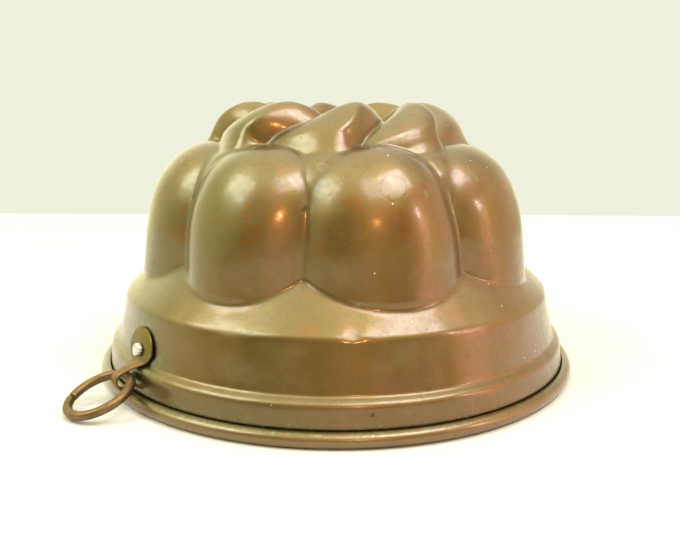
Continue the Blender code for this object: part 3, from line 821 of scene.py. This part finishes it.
def build_tube(tin):
    """Tapered centre tube with softened lips."""
    az = np.arange(TUBE_SIDES) * (360.0 / TUBE_SIDES)
    half = TUBE_WALL / 2
    line = [(TUBE_TOP_R - half, TUBE_TOP_Z - half), (TUBE_TOP_R - half, TUBE_THROAT_Z)]
    taper, rise = TUBE_TOP_R - TUBE_FOOT_R, TUBE_THROAT_Z - TUBE_FOOT_Z
    line += [(TUBE_FOOT_R - half + taper * t, TUBE_FOOT_Z + rise * t) for t in np.linspace(0.96, 0.02, 16)]
    line.append((TUBE_FOOT_R - half, TUBE_FOOT_Z + half))
    lip = [math.radians(a) for a in (30.0, 60.0, 90.0, 120.0, 150.0)]
    top = [(line[0][0] + half * math.cos(a), line[0][1] + half * math.sin(a)) for a in reversed(lip)]
    foot = [(line[-1][0] + half * math.cos(a), line[-1][1] - half * math.sin(a)) for a in lip]
    profile = top + [(r + half, z) for r, z in line] + foot + [(r - half, z) for r, z in reversed(line)]
    rows = [at(az, r, z) for r, z in profile]
    tube = new_object("tinned_centre_tube", [p for r in rows for p in r], join_rows(rows))
    tube.data.materials.append(tin)
    return tube


# hanger frame: out from the skirt, up along it, and sideways round it
SKIRT = np.array(SHOULDER) - np.array(STEP_TOP)
UP = SKIRT / np.linalg.norm(SKIRT)
OUT = np.array([UP[1], -UP[0]])
SKIRT_R = STEP_TOP[0] + (RIVET_Z - STEP_TOP[1]) * SKIRT[0] / SKIRT[1]


def hanger_point(radius, z, side):
    """Point in the hanger's upright plane, moved sideways along the tangent."""
    a = math.radians(HANGER_AZ)
    return ((radius * math.sin(a) + side * math.cos(a)) * MM,
            (-radius * math.cos(a) + side * math.sin(a)) * MM, z * MM)


def on_skirt(out, up):
    """Radius and height of a point out from and up along the skirt, from the rivet."""
    p = np.array([SKIRT_R, RIVET_Z]) + OUT * out + UP * up
    return float(p[0]), float(p[1])


def strap_stations():
    """Middle line of the strap from the top of the tab to the end of the eye, with half widths."""
    lift = GAP + TAB_SHEET / 2
    stations = []
    for a in TAB_ANGLES:
        up = TAB_R * math.sin(math.radians(a))
        stations.append((on_skirt(lift, up), TAB_R * math.cos(math.radians(a))))
    stations += [(on_skirt(lift, up), half) for up, half in TAB_WAIST]
    stations += [((radius, z), half) for radius, z, half in STRAP_BEND]
    for a in np.linspace(EYE_FROM, EYE_TO, EYE_STEPS + 1):
        r = math.radians(a)
        stations.append(((EYE_C[0] + EYE_R * math.cos(r), EYE_C[1] + EYE_R * math.sin(r)), TONGUE_HALF))
    return stations


def resample(stations, count):
    """Even smooth stations through the given ones, by Catmull-Rom."""
    pts = np.array([(*p, w) for p, w in stations], float)
    pts = np.vstack([2 * pts[0] - pts[1], pts, 2 * pts[-1] - pts[-2]])
    out = []
    for i in range(1, len(pts) - 2):
        a, b, c, d = pts[i - 1:i + 3]
        for t in np.linspace(0, 1, count, endpoint=False):
            out.append(0.5 * (2 * b + (c - a) * t + (2 * a - 5 * b + 4 * c - d) * t ** 2
                              + (3 * b - a - 3 * c + d) * t ** 3))
    out.append(pts[-2])
    return np.array(out)


def build_strap(copper):
    path = resample(strap_stations(), 4)
    line, halves = path[:, :2], np.maximum(path[:, 2], 0.12)
    d = np.gradient(line, axis=0)
    d /= np.linalg.norm(d, axis=1)[:, None]
    side = np.stack([d[:, 1], -d[:, 0]], 1)
    thick = TAB_SHEET / 2
    sections = []
    for i, half in enumerate(halves):
        section = []
        soft = min(STRAP_EDGE, half * 0.8)
        for sx, sy in ((-1, 1), (1, 1), (1, -1), (-1, -1)):
            order = (0.0, 45.0, 90.0) if sx * sy < 0 else (90.0, 45.0, 0.0)
            for a in order:
                x = sx * (half - soft + soft * math.cos(math.radians(a)))
                y = sy * (thick - STRAP_EDGE + STRAP_EDGE * math.sin(math.radians(a)))
                p = line[i] + side[i] * y
                section.append(hanger_point(p[0], p[1], x))
        sections.append(section)
    verts, faces = sweep(sections)
    strap = new_object("hanger_strap_fine", verts, faces)
    strap.data.set_sharp_from_angle(angle=math.radians(50))
    strap.data.materials.append(copper)
    return strap


def build_rivet(tin):
    """Hand-set rivet: slightly uneven head with a flattened face, and its tail inside."""
    draw = random.Random(3)
    seat = GAP + TAB_SHEET + GAP
    back = -SHEET - GAP
    head = [(seat, 0.0), (seat, 0.9), (seat + 0.15, 1.0), (seat + RIVET_HEAD_H * 0.62, 0.985),
            (seat + RIVET_HEAD_H * 0.8, 0.93), (seat + RIVET_HEAD_H * 0.92, 0.84),
            (seat + RIVET_HEAD_H * 0.985, 0.7), (seat + RIVET_HEAD_H, 0.5)]
    tail = [(back - RIVET_TAIL_H, 0.4), (back - RIVET_TAIL_H * 0.9, 0.7), (back - RIVET_TAIL_H * 0.55, 0.93),
            (back - RIVET_TAIL_H * 0.2, 1.0), (back, 0.97)]
    profile = [(o, r * RIVET_TAIL_R) for o, r in tail] + [(back, RIVET_SHANK_R), (seat, RIVET_SHANK_R)]
    profile += [(o, r * RIVET_HEAD_R) for o, r in head[1:]]
    bulge = [1.0 + 0.035 * math.sin(5 * a) + 0.02 * math.sin(9 * a + 1.0) + draw.uniform(-0.006, 0.006)
             for a in np.arange(RIVET_SIDES) * (2 * math.pi / RIVET_SIDES)]
    top = max(bulge)
    sections = []
    for out, radius in profile:
        section = []
        for i in range(RIVET_SIDES):
            a = 2 * math.pi * i / RIVET_SIDES
            r = radius * bulge[i] / top
            rr, z = on_skirt(out, r * math.sin(a))
            section.append(hanger_point(rr, z, r * math.cos(a)))
        sections.append(section)
    verts, faces = sweep(sections)
    rivet = new_object("rivet_fine", verts, faces)
    rivet.data.set_sharp_from_angle(angle=math.radians(50))
    rivet.data.materials.append(tin)
    return rivet


def build_ring(copper):
    """Round wire bent to a ring, its cut ends nearly touching and a little out of line."""
    tilt = math.radians(RING_TILT)
    out = np.array([math.cos(tilt), -math.sin(tilt)])
    centre = np.array(RING_AXIS) + out * RING_R
    lift = np.array([math.sin(tilt), math.cos(tilt)])
    steps, sides = RING_STEPS, RING_SIDES
    turns = [RING_CUT + RING_CUT_GAP + (360.0 - 2 * RING_CUT_GAP) * i / steps for i in range(steps + 1)]
    cut_end = 1.0 - RING_EDGE / RING_WIRE
    ends = [(turns[0], cut_end)] + [(t, 1.0) for t in turns[1:-1]] + [(turns[-1], cut_end)]
    sections = []
    for index, (turn, size) in enumerate(ends):
        a = math.radians(turn)
        share = index / steps
        apart = RING_OFFSET * (math.exp(-share * 14) - math.exp(-(1 - share) * 14))
        section = []
        for j in range(sides):
            b = 2 * math.pi * j / sides
            wire = (RING_WIRE - 0.01) * size
            r = RING_R + wire * math.cos(b)
            p = centre + out * r * math.cos(a) + lift * (wire * math.sin(b) + apart * 0.5)
            section.append(hanger_point(p[0], p[1], r * math.sin(a)))
        sections.append(section)
    verts, faces = sweep(sections)
    ring = new_object("ring_fine", verts, faces)
    ring.data.set_sharp_from_angle(angle=math.radians(40))
    ring.data.materials.append(copper)
    return ring


# ---------------------------------------------------------------- stage

CAMERA_TURN = (12.35, 0.25, 0.24)           # looking down, right and rolled, degrees
CAMERA_LENS, CAMERA_SENSOR = 39.706, 36.0
CAMERA_PLACE = (0.0, -0.3201, 0.1073)       # metres


def build_camera():
    """Camera a little above the crown's height, close in front."""
    pitch, yaw, roll = (math.radians(a) for a in CAMERA_TURN)
    data = bpy.data.cameras.new("camera")
    data.lens = CAMERA_LENS
    data.sensor_width = CAMERA_SENSOR
    camera = bpy.data.objects.new("camera", data)
    ahead = Vector((math.sin(yaw) * math.cos(pitch), math.cos(yaw) * math.cos(pitch), -math.sin(pitch)))
    right = ahead.cross(Vector((0.0, 0.0, 1.0))).normalized()
    up = right.cross(ahead)
    right, up = right * math.cos(roll) + up * math.sin(roll), up * math.cos(roll) - right * math.sin(roll)
    place = Matrix((right, up, -ahead)).transposed().to_4x4()
    place.translation = CAMERA_PLACE
    camera.matrix_world = place
    bpy.context.scene.collection.objects.link(camera)
    bpy.context.scene.camera = camera


# soft boxes: azimuth, elevation, width and height as seen from the mould (degrees), radiance, colour
WINDOWS = (("window_left", -67.0, 43.0, 30.0, 22.0, 3.4, (0.86, 1.0, 1.06)),
           ("window_middle", 20.0, 57.0, 24.0, 20.0, 3.9, (0.91, 1.0, 1.22)),
           ("window_right", 60.0, 58.0, 26.0, 24.0, 6.0, (0.93, 1.0, 1.26)),
           ("curtain", 68.0, 2.0, 13.0, 44.0, 2.6, (1.0, 0.46, 0.40)),
           ("lamp", 10.0, 24.0, 2.4, 2.8, 170.0, (1.0, 0.45, 0.15)),
           ("lamp_side", 65.0, 22.0, 3.5, 7.0, 24.0, (1.0, 0.93, 0.85)))
LIGHT_DISTANCE = 1.6


def add_light(name, az, el, wide, tall, glow, colour):
    """Soft box facing the mould's middle, sized by the angle it fills."""
    way = direction(az, el)
    data = bpy.data.lights.new(name, "AREA")
    data.shape = "RECTANGLE"
    data.size = 2 * LIGHT_DISTANCE * math.tan(math.radians(wide / 2))
    data.size_y = 2 * LIGHT_DISTANCE * math.tan(math.radians(tall / 2))
    data.energy = glow * math.pi * data.size * data.size_y
    data.color = colour
    light = bpy.data.objects.new(name, data)
    light.location = Vector((0.0, 0.0, 0.06)) + way * LIGHT_DISTANCE
    light.rotation_mode = "QUATERNION"
    light.rotation_quaternion = (-way).to_track_quat("-Z", "Y")
    light.visible_camera = False
    bpy.context.scene.collection.objects.link(light)


# soft studio surroundings: azimuth and elevation of a glow, half width (degrees), colour, strength
GLOWS = ((0.0, 90.0, 55.0, (1.0, 0.95, 0.72), 1.85), (-110.0, 14.0, 62.0, (1.0, 0.98, 0.55), 0.95),
         (95.0, 12.0, 50.0, (1.0, 0.68, 0.42), 1.2), (180.0, 8.0, 62.0, (1.0, 0.98, 0.72), 1.0),
         (5.0, 36.0, 44.0, (1.0, 0.66, 0.32), 0.5), (-72.0, 43.0, 25.0, (0.88, 1.0, 0.98), 2.8))
GLOOM = (0.370, 0.335, 0.165)               # the room in front of the mould
BACKDROP = (0.86, 0.87, 0.73)


def direction(az, el):
    az, el = math.radians(az), math.radians(el)
    return Vector((math.sin(az) * math.cos(el), -math.cos(az) * math.cos(el), math.sin(el)))


def build_world():
    """Dim room with broad glows for reflections, and a plain pale backdrop where it is looked at directly."""
    world = bpy.data.worlds.new("studio")
    world.use_nodes = True
    nodes, links = world.node_tree.nodes, world.node_tree.links
    room, output = nodes["Background"], nodes["World Output"]
    way = nodes.new("ShaderNodeTexCoord").outputs["Generated"]
    total = nodes.new("ShaderNodeRGB").outputs[0]
    total.default_value = (*GLOOM, 1.0)
    for az, el, half, colour, strength in GLOWS:
        dot = nodes.new("ShaderNodeVectorMath")
        dot.operation = "DOT_PRODUCT"
        links.new(way, dot.inputs[0])
        dot.inputs[1].default_value = direction(az, el)
        fade = nodes.new("ShaderNodeMapRange")
        fade.interpolation_type = "SMOOTHSTEP"
        fade.inputs["From Min"].default_value = math.cos(math.radians(half))
        links.new(dot.outputs["Value"], fade.inputs["Value"])
        glow = nodes.new("ShaderNodeMix")
        glow.data_type = "RGBA"
        glow.blend_type = "ADD"
        glow.clamp_factor = True
        links.new(fade.outputs["Result"], glow.inputs["Factor"])
        links.new(total, glow.inputs[6])
        glow.inputs[7].default_value = (*(c * strength for c in colour), 1.0)
        total = glow.outputs[2]
    links.new(total, room.inputs["Color"])
    backdrop = nodes.new("ShaderNodeBackground")
    backdrop.inputs["Color"].default_value = (*BACKDROP, 1.0)
    seen = nodes.new("ShaderNodeLightPath")
    pick = nodes.new("ShaderNodeMixShader")
    links.new(seen.outputs["Is Camera Ray"], pick.inputs["Fac"])
    links.new(room.outputs[0], pick.inputs[1])
    links.new(backdrop.outputs[0], pick.inputs[2])
    links.new(pick.outputs[0], output.inputs["Surface"])
    bpy.context.scene.world = world


FLOOR = (1.6, -2.0, 0.43, -0.0002)          # half width, near edge, far edge and height, metres


def build_floor(material):
    side, near, far, height = FLOOR
    verts = [(-side, near, height), (side, near, height), (side, far, height), (-side, far, height)]
    floor = new_object("floor", verts, [(0, 1, 2, 3)], smooth=False)
    floor.data.materials.append(material)


def surface_point(mesh_object, az, z):
    """Where a horizontal line towards the axis at that azimuth and height meets a mesh."""
    start = Vector(at(az, 1.5 * RIM_R, z))
    aim = Vector(at(az, -1.0, 0.0)).normalized()
    hit, place, _, _ = mesh_object.ray_cast(start, aim)
    return place if hit else Vector(at(az, 0.6 * RIM_R, z))


shell = build_shell(tinned("tin_lining"))
places = [(surface_point(shell, az, z), radius, kind) for az, z, radius, kind in STAINS_AND_NOTCH_SHADE]
shell.data.materials[0] = copper_patina(places)
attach(shell, "mould")
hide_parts("mould_body")

wire = build_wire(drawn_steel())
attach(wire, "mould")
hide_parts("rim_wire")

tube = build_tube(tinned("tin_tube", 0.9))
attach(tube, "mould")
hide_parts("centre_tube")

strap = build_strap(worn_copper("strap_copper"))
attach(strap, "mould")
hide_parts("hanger_strap")

rivet = build_rivet(bright_tin())
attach(rivet, "mould")
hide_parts("hanger_rivet")

ring = build_ring(worn_copper("ring_copper_dark", 0.25))
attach(ring, "ring")
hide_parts("hanging_ring")

build_camera()
build_floor(pale_floor())
build_world()
for name, az, el, width, height, glow, colour in WINDOWS:
    add_light(name, az, el, width, height, glow, colour)

bpy.context.scene.view_settings.view_transform = "Standard"
